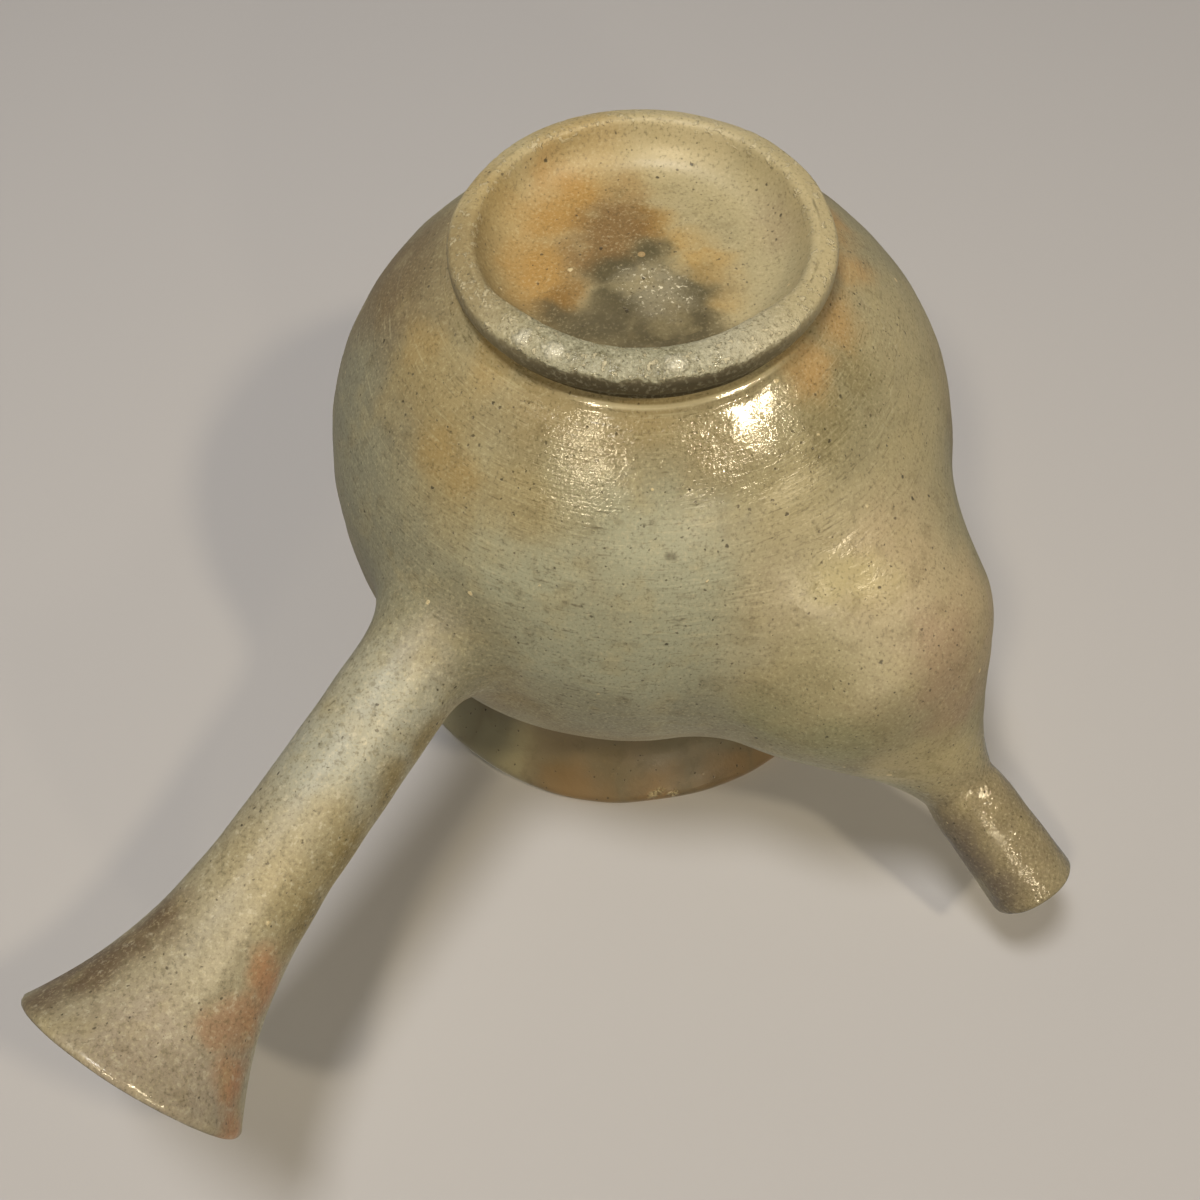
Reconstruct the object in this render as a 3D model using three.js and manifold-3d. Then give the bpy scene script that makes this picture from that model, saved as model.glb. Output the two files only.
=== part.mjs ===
// Side-handle teapot of wood-fired stoneware, in millimetres, standing on its foot with +Z up.
// The spout faces -Y and the hollow handle points to +X, a little towards the spout.
// Each thrown or luted piece of clay is one mesh: the pot's pieces, then the lid's.
import * as THREE from "three";
import { mergeVertices } from "three/addons/utils/BufferGeometryUtils.js";
import Module from "manifold-3d";

const wasm = await Module();
wasm.setup();

// Seam left where two pieces of clay are luted together
const SEAM = 0.3;

// Pot wall: two halves of a rounded bowl, widest where they meet
const BODY_RADIUS = 48;
const WIDEST_Z = 41.6;
const LOWER_POLE_Z = -1;
const LOWER_POWER = 1.95;
const UPPER_POLE_Z = 81.9;
const UPPER_POWER = 2.07;
const WALL = 3.2;
const FLOOR_Z = 8.6;
const FLOOR_CURVE = 10;
const FLOOR_CURVE_HEIGHT = 2;
const NECK_Z = 70;

// The mouth was thrown a little off the foot's centre, towards the handle
const LEAN = new THREE.Vector2(2.8, 0.2);
const LEAN_FULL_Z = 66;

// Foot ring: a narrow flat that the pot stands on, with a bevel outside it
const FOOT_INNER_RADIUS = 21.8;
const FOOT_FLAT = 1.4;
const FOOT_RADIUS = 25.7;
const FOOT_BEVEL_HEIGHT = 1;
const FOOT_ROUNDING = 0.5;
const FOOT_WALL_TOP_Z = 3.8;
const FOOT_NECK_RADIUS = 24.4;
const FOOT_SLOPE_TURN_Z = 2;

// Dish inside the foot, with a soft slope up to the ring
const DISH_CENTRE_Z = 4.5;
const DISH_Z = 5.3;
const DISH_RADIUS = 15.5;
const DISH_SLOPE_RADIUS = 19.6;
const DISH_SLOPE_Z = 4.2;

// Flared mouth collar
const RIM_RADIUS = 42.7;
const RIM_Z = 85.1;
const LIP = 2.4;
const COLLAR_BASE_RADIUS = 34.5;
const COLLAR_BASE_INNER_RADIUS = 30.8;
const COLLAR_WAIST_Z = 76.3;

// Ledge that the lid rests on
const LEDGE_RADIUS = 25.6;
const LEDGE_THICKNESS = 1.9;
const LEDGE_ROOT_Z = 66.6;
const LEDGE_BEVEL = 0.6;

// Lid, its locating ring and its knob
const LID_RADIUS = 29.8;
const LID_EDGE = 2.4;
const LID_TOP_Z = 76.2;
const LID_HOLLOW_RADIUS = 22;
const LID_HOLLOW_FLAT = 18;
const LID_CROWN = 2.8;
const STEAM_HOLE_RADIUS = 1.5;
const STEAM_HOLE_STEPS = 12;
const STEAM_HOLE_FROM_CENTRE = 14;
const FLANGE_RADIUS = 24.8;
const FLANGE_THICKNESS = 2.2;
const FLANGE_DEPTH = 5.2;
const FLANGE_BEVEL = 0.7;
const KNOB_FOOT_RADIUS = 4.6;
const KNOB_WAIST_RADIUS = 3.6;
const KNOB_WAIST_HEIGHT = 2.6;
const KNOB_RADIUS = 6.9;
const KNOB_CAP_HEIGHT = 2.4;
const KNOB_TOP_Z = 84.3;

// Spout: a full bulb that narrows to a short straight tube
const SPOUT_START = new THREE.Vector3(1.5, -38.3, 42.9);
const SPOUT_AZIMUTH = -90;
const SPOUT_RISE = 32;
const SPOUT_LENGTH = 56.2;
const SPOUT_ROOT = -9;
const SPOUT_ROOT_END = 12;
const BULB_RADIUS = 21.6;
const BULB_CENTRE = 5.5;
const BULB_FLATTENING = 0.5;
const TAPER_START = 11;
const TAPER_END = 42.4;
const TUBE_NECK_RADIUS = 6.2;
const TUBE_TIP_RADIUS = 6.9;
const SPOUT_WALL = 2.4;
const SPOUT_LIP = 0.8;
const SPOUT_FILLET = 9;

// Pierced strainer: a dome luted inside the pot over the hole behind the spout
const STRAINER_Z = 43;
const STRAINER_SIDE = 0.8;
const STRAINER_CENTRE_Y = -50;
const STRAINER_RADIUS = 16;
const STRAINER_WALL = 2.2;
const STRAINER_HOLE_RADIUS = 1.1;
const STRAINER_HOLE_STEPS = 6;
const STRAINER_RINGS = 3;
const STRAINER_HOLES_PER_RING = 6;
const STRAINER_RING_STEP = 15;
const STRAINER_RING_TURN = 11;
const SPOUT_HOLE_RADIUS = 12.8;
const SPOUT_HOLE_STEPS = 32;

// Handle: a hollow trumpet thrown by itself and luted to the pot's side
const HANDLE_START = new THREE.Vector3(41.8, -4.2, 41.1);
const HANDLE_AZIMUTH = -14.3;
const HANDLE_RISE = 8.3;
const HANDLE_LENGTH = 73.1;
const HANDLE_ROOT = -4;
const HANDLE_ROOT_END = 16;
const HANDLE_NECK_RADIUS = 7.9;
const HANDLE_FLARE = 9.1;
const HANDLE_FLARE_POWER = 5.6;
const HANDLE_ROOT_SWELL = 1.3;
const HANDLE_SWELL_LENGTH = 14;
const HANDLE_FILLET = 7;
const HANDLE_WALL = 2.9;
const HANDLE_LIP_WALL = 2.2;
const HANDLE_LIP = 0.6;

// Facets: steps round a turned piece, rings along the spout and handle, stations up the wall
const POT_STEPS = 48;
const BRANCH_STEPS = 28;
const ROOT_RINGS = 9;
const BRANCH_RINGS = 9;
const DOME_STEPS = 18;
const KNOB_STEPS = 24;
const LEDGE_STATIONS = 3;
const OUTER_WALL_STATIONS = 13;
const INNER_WALL_STATIONS = 9;
const ROUNDING = 3;
const KNOB_ROUNDING = 4;

// Longer than any wall that a hole goes through
const THROUGH = 30;

const clay = (color, roughness) =>
  new THREE.MeshStandardMaterial({ color, roughness, metalness: 0 });
const olive = clay(0x8f8868, 0.55);
const ash = clay(0xa09b84, 0.6);
const flashed = clay(0x96683c, 0.5);
const bisque = clay(0xa28c66, 0.65);
const rosy = clay(0x9c8460, 0.55);
const pale = clay(0xa8a28a, 0.65);

// Points of a path, joined without repeats.
function outline(draw, divisions = ROUNDING) {
  const path = new THREE.Path();
  draw(path);
  return path.getPoints(divisions);
}

// A revolved piece about +Z.
function revolve(points, steps) {
  return new THREE.LatheGeometry(points, steps).rotateX(Math.PI / 2);
}

// A geometry as a solid for cutting and joining.
function solidOf(geometry) {
  const bare = geometry.clone();
  bare.deleteAttribute("normal");
  bare.deleteAttribute("uv");
  const merged = mergeVertices(bare, 1e-4);
  return new wasm.Manifold(
    new wasm.Mesh({
      numProp: 3,
      vertProperties: merged.attributes.position.array,
      triVerts: new Uint32Array(merged.index.array),
    }),
  );
}

// A round cutter along +Y, longer than any wall that it goes through.
function cutter(radius, steps) {
  return new THREE.CylinderGeometry(radius, radius, THROUGH, steps);
}

// A cut solid as a geometry again.
function geometryOf(solid) {
  const cut = solid.getMesh();
  const geometry = new THREE.BufferGeometry();
  geometry.setAttribute("position", new THREE.BufferAttribute(cut.vertProperties, 3));
  geometry.setIndex(new THREE.BufferAttribute(cut.triVerts, 1));
  geometry.computeVertexNormals();
  return geometry;
}

// Radius of the pot at a height, drawn in by an inset all over.
function potRadius(z, inset = 0) {
  const lower = z < WIDEST_Z;
  const pole = lower ? LOWER_POLE_Z + inset : UPPER_POLE_Z - inset;
  const power = lower ? LOWER_POWER : UPPER_POWER;
  const along = Math.min(1, (z - WIDEST_Z) / (pole - WIDEST_Z));
  return (BODY_RADIUS - inset) * (1 - along ** power) ** (1 / power);
}

// Height of the pot's lower half at a radius.
function potUndersideZ(radius) {
  const share = (1 - (radius / BODY_RADIUS) ** LOWER_POWER) ** (1 / LOWER_POWER);
  return WIDEST_Z - (WIDEST_Z - LOWER_POLE_Z) * share;
}

// Points on the pot's wall from one height to another, closer together near the foot and neck.
function wallPoints(fromZ, toZ, count, inset = 0) {
  return Array.from({ length: count + 1 }, (_, i) => {
    const share = (1 - Math.cos((Math.PI * i) / count)) / 2;
    const z = fromZ + (toZ - fromZ) * share;
    return new THREE.Vector2(potRadius(z, inset), z);
  });
}

// Shifts the pot's upper half so that its neck meets the leaning mouth.
function lean(geometry) {
  const position = geometry.attributes.position;
  for (let i = 0; i < position.count; i++) {
    const share = THREE.MathUtils.smoothstep(position.getZ(i), WIDEST_Z, LEAN_FULL_Z);
    position.setX(i, position.getX(i) + LEAN.x * share);
    position.setY(i, position.getY(i) + LEAN.y * share);
  }
  return geometry;
}

// The bowl's outer wall from foot to neck, and its inner wall from floor to neck, each with an
// inset that moves it inwards.
const outerWall = (inset) =>
  wallPoints(potUndersideZ(FOOT_INNER_RADIUS), NECK_Z, OUTER_WALL_STATIONS, inset);
const innerWall = (inset) =>
  wallPoints(FLOOR_Z + FLOOR_CURVE_HEIGHT, NECK_Z, INNER_WALL_STATIONS, inset);

// The room inside a wall, as one solid.
function roomInside(wall) {
  const bottom = new THREE.Vector2(0, wall[0].y);
  const top = new THREE.Vector2(0, wall.at(-1).y);
  return solidOf(lean(revolve([bottom, ...wall, top], POT_STEPS)));
}

// Thrown bowl: dished underside, rounded wall and inner floor, with the hole behind the spout
function makeBody() {
  const footZ = potUndersideZ(FOOT_INNER_RADIUS);
  const dish = outline((path) => {
    path.moveTo(0, DISH_CENTRE_Z);
    path.quadraticCurveTo(DISH_RADIUS / 2, DISH_CENTRE_Z, DISH_RADIUS, DISH_Z);
    path.lineTo(DISH_SLOPE_RADIUS, DISH_Z - SEAM);
    path.lineTo(FOOT_INNER_RADIUS, footZ);
  });
  const outer = outerWall(0).slice(1);
  const inner = innerWall(WALL).reverse();
  const edge = inner.at(-1);
  const floor = outline((path) => {
    path.moveTo(edge.x, edge.y);
    path.quadraticCurveTo(edge.x - FLOOR_CURVE / 2, FLOOR_Z, edge.x - FLOOR_CURVE, FLOOR_Z);
    path.lineTo(0, FLOOR_Z);
  }).slice(1);
  const bowl = solidOf(lean(revolve([...dish, ...outer, ...inner, ...floor], POT_STEPS)));
  const hole = cutter(SPOUT_HOLE_RADIUS, SPOUT_HOLE_STEPS);
  hole.translate(STRAINER_SIDE, -BODY_RADIUS, STRAINER_Z);
  return geometryOf(bowl.subtract(solidOf(hole)));
}

// Turned foot ring, luted under the bowl: inner slope, flat, bevel, wall and undercut
function makeFootRing() {
  const bevelRadius = FOOT_RADIUS - FOOT_ROUNDING;
  const flatRadius = FOOT_INNER_RADIUS + FOOT_FLAT;
  const side = outline((path) => {
    path.moveTo(DISH_SLOPE_RADIUS, DISH_SLOPE_Z);
    path.quadraticCurveTo(FOOT_INNER_RADIUS - FOOT_ROUNDING, FOOT_SLOPE_TURN_Z, FOOT_INNER_RADIUS, 0);
    path.lineTo(flatRadius, 0);
    path.lineTo(bevelRadius, FOOT_BEVEL_HEIGHT);
    path.lineTo(FOOT_RADIUS, FOOT_BEVEL_HEIGHT + FOOT_ROUNDING);
    path.lineTo(FOOT_RADIUS, FOOT_WALL_TOP_Z - FOOT_ROUNDING);
    path.quadraticCurveTo(FOOT_RADIUS, FOOT_WALL_TOP_Z, FOOT_NECK_RADIUS, FOOT_WALL_TOP_Z + SEAM);
  });
  const top = [FOOT_NECK_RADIUS, FOOT_INNER_RADIUS + SEAM].map(
    (radius) => new THREE.Vector2(radius, potUndersideZ(radius) - SEAM),
  );
  return revolve([...side, ...top, side[0]], POT_STEPS);
}

// Flared collar with a rounded lip
function makeCollar() {
  const baseZ = NECK_Z + SEAM;
  const lipRadius = LIP / 2;
  const lipZ = RIM_Z - lipRadius;
  const points = outline((path) => {
    path.moveTo(COLLAR_BASE_RADIUS, baseZ);
    path.quadraticCurveTo(COLLAR_BASE_RADIUS, COLLAR_WAIST_Z, RIM_RADIUS, lipZ);
    path.absarc(RIM_RADIUS - lipRadius, lipZ, lipRadius, 0, Math.PI, false);
    path.quadraticCurveTo(COLLAR_BASE_INNER_RADIUS, COLLAR_WAIST_Z, COLLAR_BASE_INNER_RADIUS, baseZ);
    path.closePath();
  });
  return revolve(points, POT_STEPS);
}

// Ledge inside the neck, wedge-shaped against the wall below it
function makeLedge() {
  const inset = WALL + SEAM;
  const underZ = NECK_Z - LEDGE_THICKNESS;
  const points = outline((path) => {
    path.moveTo(LEDGE_RADIUS, NECK_Z);
    path.lineTo(LEDGE_RADIUS, underZ);
    path.lineTo(LEDGE_RADIUS + LEDGE_BEVEL, underZ - LEDGE_BEVEL);
    const wall = wallPoints(LEDGE_ROOT_Z, NECK_Z, LEDGE_STATIONS, inset);
    wall.forEach((point) => path.lineTo(point.x, point.y));
    path.closePath();
  });
  return revolve(points, POT_STEPS);
}

// Radius of the spout along its axis: the bulb's round, then an S-curve down to the tube
function spoutRadius(t) {
  const fromCentre = BULB_FLATTENING * (t - BULB_CENTRE) ** 2;
  const bulb = Math.sqrt(Math.max(0, BULB_RADIUS ** 2 - fromCentre));
  const tube = TUBE_NECK_RADIUS + ((TUBE_TIP_RADIUS - TUBE_NECK_RADIUS) * t) / SPOUT_LENGTH;
  return THREE.MathUtils.lerp(bulb, tube, THREE.MathUtils.smoothstep(t, TAPER_START, TAPER_END));
}

// How far a point lies outside the pot's wall, measured level
function potGap(point) {
  const share = THREE.MathUtils.smoothstep(point.z, WIDEST_Z, LEAN_FULL_Z);
  const out = Math.hypot(point.x - LEAN.x * share, point.y - LEAN.y * share);
  return out - potRadius(THREE.MathUtils.clamp(point.z, LOWER_POLE_Z, UPPER_POLE_Z));
}

// Widens a tube's outer skin where it will near the pot, as a soft fillet of clay.
function softenRoot(tube, outerRings, rings, place, fillet) {
  const position = tube.attributes.position;
  for (let i = 0; i < position.count; i++) {
    if ((i + 1) % rings > outerRings) continue;
    const point = new THREE.Vector3().fromBufferAttribute(position, i);
    const near = fillet - THREE.MathUtils.clamp(potGap(point.clone().applyMatrix4(place)), 0, fillet);
    const grow = 1 + near ** 2 / (2 * fillet * Math.hypot(point.x, point.y));
    position.setXYZ(i, point.x * grow, point.y * grow, point.z);
  }
}

// Stations from a first to a last place, spaced by a rule
function stationsBetween(first, last, count, rule) {
  return Array.from({ length: count + 1 }, (_, i) => THREE.MathUtils.lerp(first, last, rule(i / count)));
}

// A hollow branch with a bevelled lip and a soft root, cut to sit on the pot's side
function luteBranch(branch) {
  const { length, lip, outerAt, innerAt, root, rootEnd } = branch;
  const stations = [
    ...stationsBetween(root, rootEnd, ROOT_RINGS, (share) => share).slice(0, -1),
    ...stationsBetween(rootEnd, length - lip, BRANCH_RINGS, (share) => Math.sin((Math.PI / 2) * share)),
  ];
  const outer = stations.map((t) => new THREE.Vector2(outerAt(t), t));
  const every = stations.filter((_, i) => (stations.length - 1 - i) % 2 === 0);
  const inner = every.map((t) => new THREE.Vector2(innerAt(t), t)).reverse();
  const end = [
    new THREE.Vector2(outerAt(length) - lip, length),
    new THREE.Vector2(innerAt(length) + lip, length),
  ];
  const profile = [...outer, ...end, ...inner, outer[0]];
  const tube = revolve(profile, BRANCH_STEPS);
  const turn = new THREE.Euler(
    0,
    THREE.MathUtils.degToRad(90 - branch.rise),
    THREE.MathUtils.degToRad(branch.azimuth),
    "ZYX",
  );
  const place = new THREE.Matrix4().makeRotationFromEuler(turn).setPosition(branch.start);
  softenRoot(tube, outer.length, profile.length, place, branch.fillet);
  const besideCollar = new THREE.Vector2(COLLAR_BASE_RADIUS + 3 * SEAM, COLLAR_WAIST_Z);
  const pot = roomInside([...outerWall(-SEAM), besideCollar]);
  return geometryOf(solidOf(tube.applyMatrix4(place)).subtract(pot));
}

// Hollow spout
function makeSpout() {
  return luteBranch({
    root: SPOUT_ROOT,
    rootEnd: SPOUT_ROOT_END,
    length: SPOUT_LENGTH,
    lip: SPOUT_LIP,
    outerAt: spoutRadius,
    innerAt: (t) => spoutRadius(t) - SPOUT_WALL,
    start: SPOUT_START,
    azimuth: SPOUT_AZIMUTH,
    rise: SPOUT_RISE,
    fillet: SPOUT_FILLET,
  });
}

// Radius that the handle's trumpet end has along its axis
function trumpetRadius(t) {
  return HANDLE_NECK_RADIUS + HANDLE_FLARE * Math.max(0, t / HANDLE_LENGTH) ** HANDLE_FLARE_POWER;
}

// Radius of the handle outside: the trumpet and a swollen root
function handleRadius(t) {
  return trumpetRadius(t) + HANDLE_ROOT_SWELL * Math.exp(-Math.max(0, t) / HANDLE_SWELL_LENGTH);
}

// Hollow handle, open at its flared end and closed by the pot's wall at its root
function makeHandle() {
  return luteBranch({
    root: HANDLE_ROOT,
    rootEnd: HANDLE_ROOT_END,
    length: HANDLE_LENGTH,
    lip: HANDLE_LIP,
    outerAt: handleRadius,
    innerAt: (t) => {
      const along = Math.max(0, t) / HANDLE_LENGTH;
      return trumpetRadius(t) - THREE.MathUtils.lerp(HANDLE_WALL, HANDLE_LIP_WALL, along);
    },
    start: HANDLE_START,
    azimuth: HANDLE_AZIMUTH,
    rise: HANDLE_RISE,
    fillet: HANDLE_FILLET,
  });
}

// Pierced dome, trimmed to sit on the curved inner wall
function makeStrainer() {
  const inside = STRAINER_RADIUS - STRAINER_WALL;
  const quarter = Math.PI / 2;
  const shell = outline((path) => {
    path.moveTo(0, inside);
    path.absarc(0, 0, inside, quarter, 0, true);
    path.lineTo(STRAINER_RADIUS, 0);
    path.absarc(0, 0, STRAINER_RADIUS, 0, quarter, false);
  });
  const dome = new THREE.LatheGeometry(shell, DOME_STEPS);
  dome.translate(STRAINER_SIDE, STRAINER_CENTRE_Y, STRAINER_Z);
  let strainer = solidOf(dome).intersect(roomInside(innerWall(WALL + SEAM)));
  for (let ring = 0; ring <= STRAINER_RINGS; ring++) {
    const count = Math.max(1, ring * STRAINER_HOLES_PER_RING);
    for (let i = 0; i < count; i++) {
      const hole = cutter(STRAINER_HOLE_RADIUS, STRAINER_HOLE_STEPS);
      hole.translate(0, STRAINER_RADIUS, 0);
      hole.rotateX(THREE.MathUtils.degToRad(ring * STRAINER_RING_STEP));
      hole.rotateY(THREE.MathUtils.degToRad((360 * i) / count + ring * STRAINER_RING_TURN));
      hole.translate(STRAINER_SIDE, STRAINER_CENTRE_Y, STRAINER_Z);
      strainer = strainer.subtract(solidOf(hole));
    }
  }
  return geometryOf(strainer);
}

// Lid plate, hollowed underneath and pierced for steam
function makeLid() {
  const underZ = NECK_Z + SEAM;
  const edge = LID_EDGE / 2;
  const points = outline((path) => {
    path.moveTo(0, underZ + LID_CROWN);
    path.quadraticCurveTo(LID_HOLLOW_FLAT, underZ + LID_CROWN, LID_HOLLOW_RADIUS, underZ);
    path.lineTo(LID_RADIUS - edge, underZ);
    path.absarc(LID_RADIUS - edge, underZ + edge, edge, -Math.PI / 2, Math.PI / 2, false);
    path.quadraticCurveTo(LID_RADIUS / 2, LID_TOP_Z, 0, LID_TOP_Z);
  });
  const hole = cutter(STEAM_HOLE_RADIUS, STEAM_HOLE_STEPS);
  hole.rotateX(Math.PI / 2);
  hole.translate(0, -STEAM_HOLE_FROM_CENTRE, underZ);
  return geometryOf(solidOf(revolve(points, POT_STEPS)).subtract(solidOf(hole)));
}

// Ring under the lid that keeps it centred in the ledge
function makeLidFlange() {
  const bottomZ = NECK_Z - FLANGE_DEPTH;
  const inner = FLANGE_RADIUS - FLANGE_THICKNESS;
  const points = outline((path) => {
    path.moveTo(inner, NECK_Z);
    path.lineTo(inner, bottomZ + FLANGE_BEVEL);
    path.lineTo(inner + FLANGE_BEVEL, bottomZ);
    path.lineTo(FLANGE_RADIUS - FLANGE_BEVEL, bottomZ);
    path.lineTo(FLANGE_RADIUS, bottomZ + FLANGE_BEVEL);
    path.lineTo(FLANGE_RADIUS, NECK_Z);
    path.closePath();
  });
  return revolve(points, POT_STEPS);
}

// Button knob, waisted under its cap
function makeKnob() {
  const footZ = LID_TOP_Z + SEAM;
  const capZ = KNOB_TOP_Z - KNOB_CAP_HEIGHT;
  const waistZ = footZ + KNOB_WAIST_HEIGHT;
  const points = outline((path) => {
    path.moveTo(0, footZ);
    path.lineTo(KNOB_FOOT_RADIUS, footZ);
    path.quadraticCurveTo(KNOB_WAIST_RADIUS, footZ, KNOB_WAIST_RADIUS, waistZ);
    path.quadraticCurveTo(KNOB_RADIUS, waistZ + KNOB_WAIST_HEIGHT / 2, KNOB_RADIUS, capZ);
    path.quadraticCurveTo(KNOB_RADIUS, KNOB_TOP_Z, 0, KNOB_TOP_Z);
  }, KNOB_ROUNDING);
  return revolve(points, KNOB_STEPS);
}

function addPiece(group, name, geometry, material) {
  const mesh = new THREE.Mesh(geometry, material);
  mesh.name = name;
  group.add(mesh);
}

const pot = new THREE.Group();
addPiece(pot, "body", makeBody(), olive);
addPiece(pot, "foot_ring", makeFootRing(), ash);
addPiece(pot, "strainer", makeStrainer(), bisque);
addPiece(pot, "spout", makeSpout(), rosy);
addPiece(pot, "handle", makeHandle(), pale);

const mouth = new THREE.Group();
mouth.position.set(LEAN.x, LEAN.y, 0);
addPiece(mouth, "mouth_collar", makeCollar(), flashed);
addPiece(mouth, "lid_ledge", makeLedge(), bisque);
addPiece(mouth, "lid", makeLid(), olive);
addPiece(mouth, "lid_flange", makeLidFlange(), bisque);
addPiece(mouth, "lid_knob", makeKnob(), flashed);

// The origin is under the middle of the whole teapot, on the surface that it stands on.
const standing = new THREE.Group();
standing.add(pot, mouth);
const middle = new THREE.Box3().setFromObject(standing, true).getCenter(new THREE.Vector3());
standing.position.set(-middle.x, -middle.y, 0);

const teapot = new THREE.Group();
teapot.add(standing);

export default teapot;
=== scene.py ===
"""A side-handle teapot of wood-fired stoneware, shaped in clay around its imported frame.

Clay is shaped in millimetres from the pot's own axis. A finished piece is then put in metres in
the part's frame, in which the teapot stands on its foot. The photograph shows it upside down on
its rim, so the main camera looks up from below.
"""
from functools import reduce
import math

import bpy
import numpy as np
from mathutils import Matrix, Vector
from numpy.linalg import norm


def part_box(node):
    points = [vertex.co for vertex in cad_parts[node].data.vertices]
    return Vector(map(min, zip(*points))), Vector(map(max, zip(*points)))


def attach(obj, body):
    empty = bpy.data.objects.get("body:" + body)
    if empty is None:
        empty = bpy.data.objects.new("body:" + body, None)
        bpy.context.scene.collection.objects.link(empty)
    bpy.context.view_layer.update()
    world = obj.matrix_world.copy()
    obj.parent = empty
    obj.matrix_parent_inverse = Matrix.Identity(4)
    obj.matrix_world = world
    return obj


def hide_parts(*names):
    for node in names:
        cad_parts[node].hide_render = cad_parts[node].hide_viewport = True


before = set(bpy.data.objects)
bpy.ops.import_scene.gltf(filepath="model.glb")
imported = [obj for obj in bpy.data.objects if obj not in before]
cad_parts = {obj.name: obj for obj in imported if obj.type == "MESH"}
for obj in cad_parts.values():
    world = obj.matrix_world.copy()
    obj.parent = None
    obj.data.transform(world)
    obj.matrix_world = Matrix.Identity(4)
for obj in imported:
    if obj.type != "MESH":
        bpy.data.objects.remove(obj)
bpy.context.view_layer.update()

MM = 0.001

# Pot wall: two halves of a rounded bowl, widest where they meet
BODY_RADIUS = 48.0
WIDEST_Z = 41.6
LOWER_POLE_Z = -1.0
LOWER_POWER = 1.95
UPPER_POLE_Z = 81.9
UPPER_POWER = 2.07
WALL = 3.2
FLOOR_Z = 8.6
NECK_Z = 70.0
LEAN_FULL_Z = 66.0

# Foot ring and the dish inside it
DISH_CENTRE_Z = 4.5
DISH_RADIUS = 15.5
DISH_Z = 5.3
FOOT_INNER_RADIUS = 21.9
FOOT_RADIUS = 25.7
UNDERCUT_RADIUS = 24.2
RIDGE_RADIUS = 25.3
RIDGE_WIDTH = 1.0
RIDGE_HEIGHT = 0.36
RIDGE_TOP_Z = 10

# Unevenness of throwing: long waves, short ripples and the rings of the fingers
WAVE_SIZE = 34
WAVE_HEIGHT = 0.2
RIPPLE_SIZE = 9
RIPPLE_HEIGHT = 0.06
RING_SPACING = 3.4
RING_HEIGHT = 0.02
RELIEF_DEPTH = 0.3

# Mouth collar and lid
RIM_RADIUS = 42.7
RIM_Z = 85.1
LIP = 2.4
STEAM_HOLE = (14.0, 1.5)

# Spout
SPOUT_LENGTH = 56.2
BULB_RADIUS = 21.6
BULB_CENTRE = 5.5
BULB_FLATTENING = 0.5
TAPER = (11.0, 42.4)
TUBE_NECK_RADIUS = 6.2
TUBE_TIP_RADIUS = 6.9
SPOUT_WALL = 2.4
SPOUT_BLEND = 9.0

# Handle
HANDLE_LENGTH = 73.1
HANDLE_NECK_RADIUS = 7.9
HANDLE_FLARE = 9.1
HANDLE_FLARE_POWER = 5.6
HANDLE_SWELL = 1.3
HANDLE_SWELL_LENGTH = 14.0
HANDLE_WALL = 2.9
HANDLE_LIP_WALL = 2.2
HANDLE_BLEND = 7.0

# Strainer
STRAINER_CENTRE = (0.8, -50.0, 43.0)
STRAINER_RADIUS = 16.0
STRAINER_WALL = 2.2
STRAINER_HOLE_RADIUS = 1.1
STRAINER_RINGS = 3
STRAINER_RING_STEP = 15
STRAINER_RING_TURN = 11
SPOUT_HOLE_RADIUS = 12.8

# Mesh: rows and points a length apart, fine beside the foot and coarser inside
FOOT_STEP = 0.35
BESIDE_FOOT_STEP = 0.14
BESIDE_FOOT_Z = 8.5
WALL_STEP = 0.85
DISH_STEP = 1.2
INSIDE_STEP = 1.6
BRANCH_STEP = 0.6
COLLAR_STEP = 0.6
RING_STEP = 0.5
LID_STEP = 0.7
KNOB_STEP = 0.3
LIP_STEPS = 8
LIP_POWER = 0.7
OUTER_ROOT_DEPTH = 2.2
INNER_ROOT_DEPTH = 2.0
SKIN_ROWS_INSIDE_LIP = 9


def middle_of(node):
    """Where the upright axis of a round node stands, in millimetres."""
    low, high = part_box(node)
    return np.array((low + high) / 2 / MM)[:2]


POT_AXIS = middle_of("foot_ring")
LEAN = middle_of("lid_knob") - POT_AXIS


# Shape of the clay


def smoothstep(value, start, end):
    share = np.clip((value - start) / (end - start), 0, 1)
    return share * share * (3 - 2 * share)


def direction(azimuth, rise):
    azimuth, rise = math.radians(azimuth), math.radians(rise)
    level = math.cos(rise)
    return np.array([math.cos(azimuth) * level, math.sin(azimuth) * level, math.sin(rise)])


def pot_radius(z, inset=0.0):
    """Radius of the pot's wall at a height, drawn in by an inset."""
    lower = z < WIDEST_Z
    pole = np.where(lower, LOWER_POLE_Z + inset, UPPER_POLE_Z - inset)
    power = np.where(lower, LOWER_POWER, UPPER_POWER)
    along = np.clip((z - WIDEST_Z) / (pole - WIDEST_Z), 0, 1)
    return (BODY_RADIUS - inset) * (1 - along**power) ** (1 / power)


def underside_z(radius):
    """Height of the pot's lower half at a radius."""
    share = (1 - (radius / BODY_RADIUS) ** LOWER_POWER) ** (1 / LOWER_POWER)
    return WIDEST_Z - (WIDEST_Z - LOWER_POLE_Z) * share


def lean_at(z):
    """How far the clay at a height stands off the foot's axis, because the mouth leans."""
    return LEAN * smoothstep(z, WIDEST_Z, LEAN_FULL_Z)[..., None]


def spout_radius(t):
    bulb = np.sqrt(np.maximum(BULB_RADIUS**2 - BULB_FLATTENING * (t - BULB_CENTRE) ** 2, 1))
    tube = TUBE_NECK_RADIUS + (TUBE_TIP_RADIUS - TUBE_NECK_RADIUS) * t / SPOUT_LENGTH
    return bulb + (tube - bulb) * smoothstep(t, *TAPER)


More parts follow.
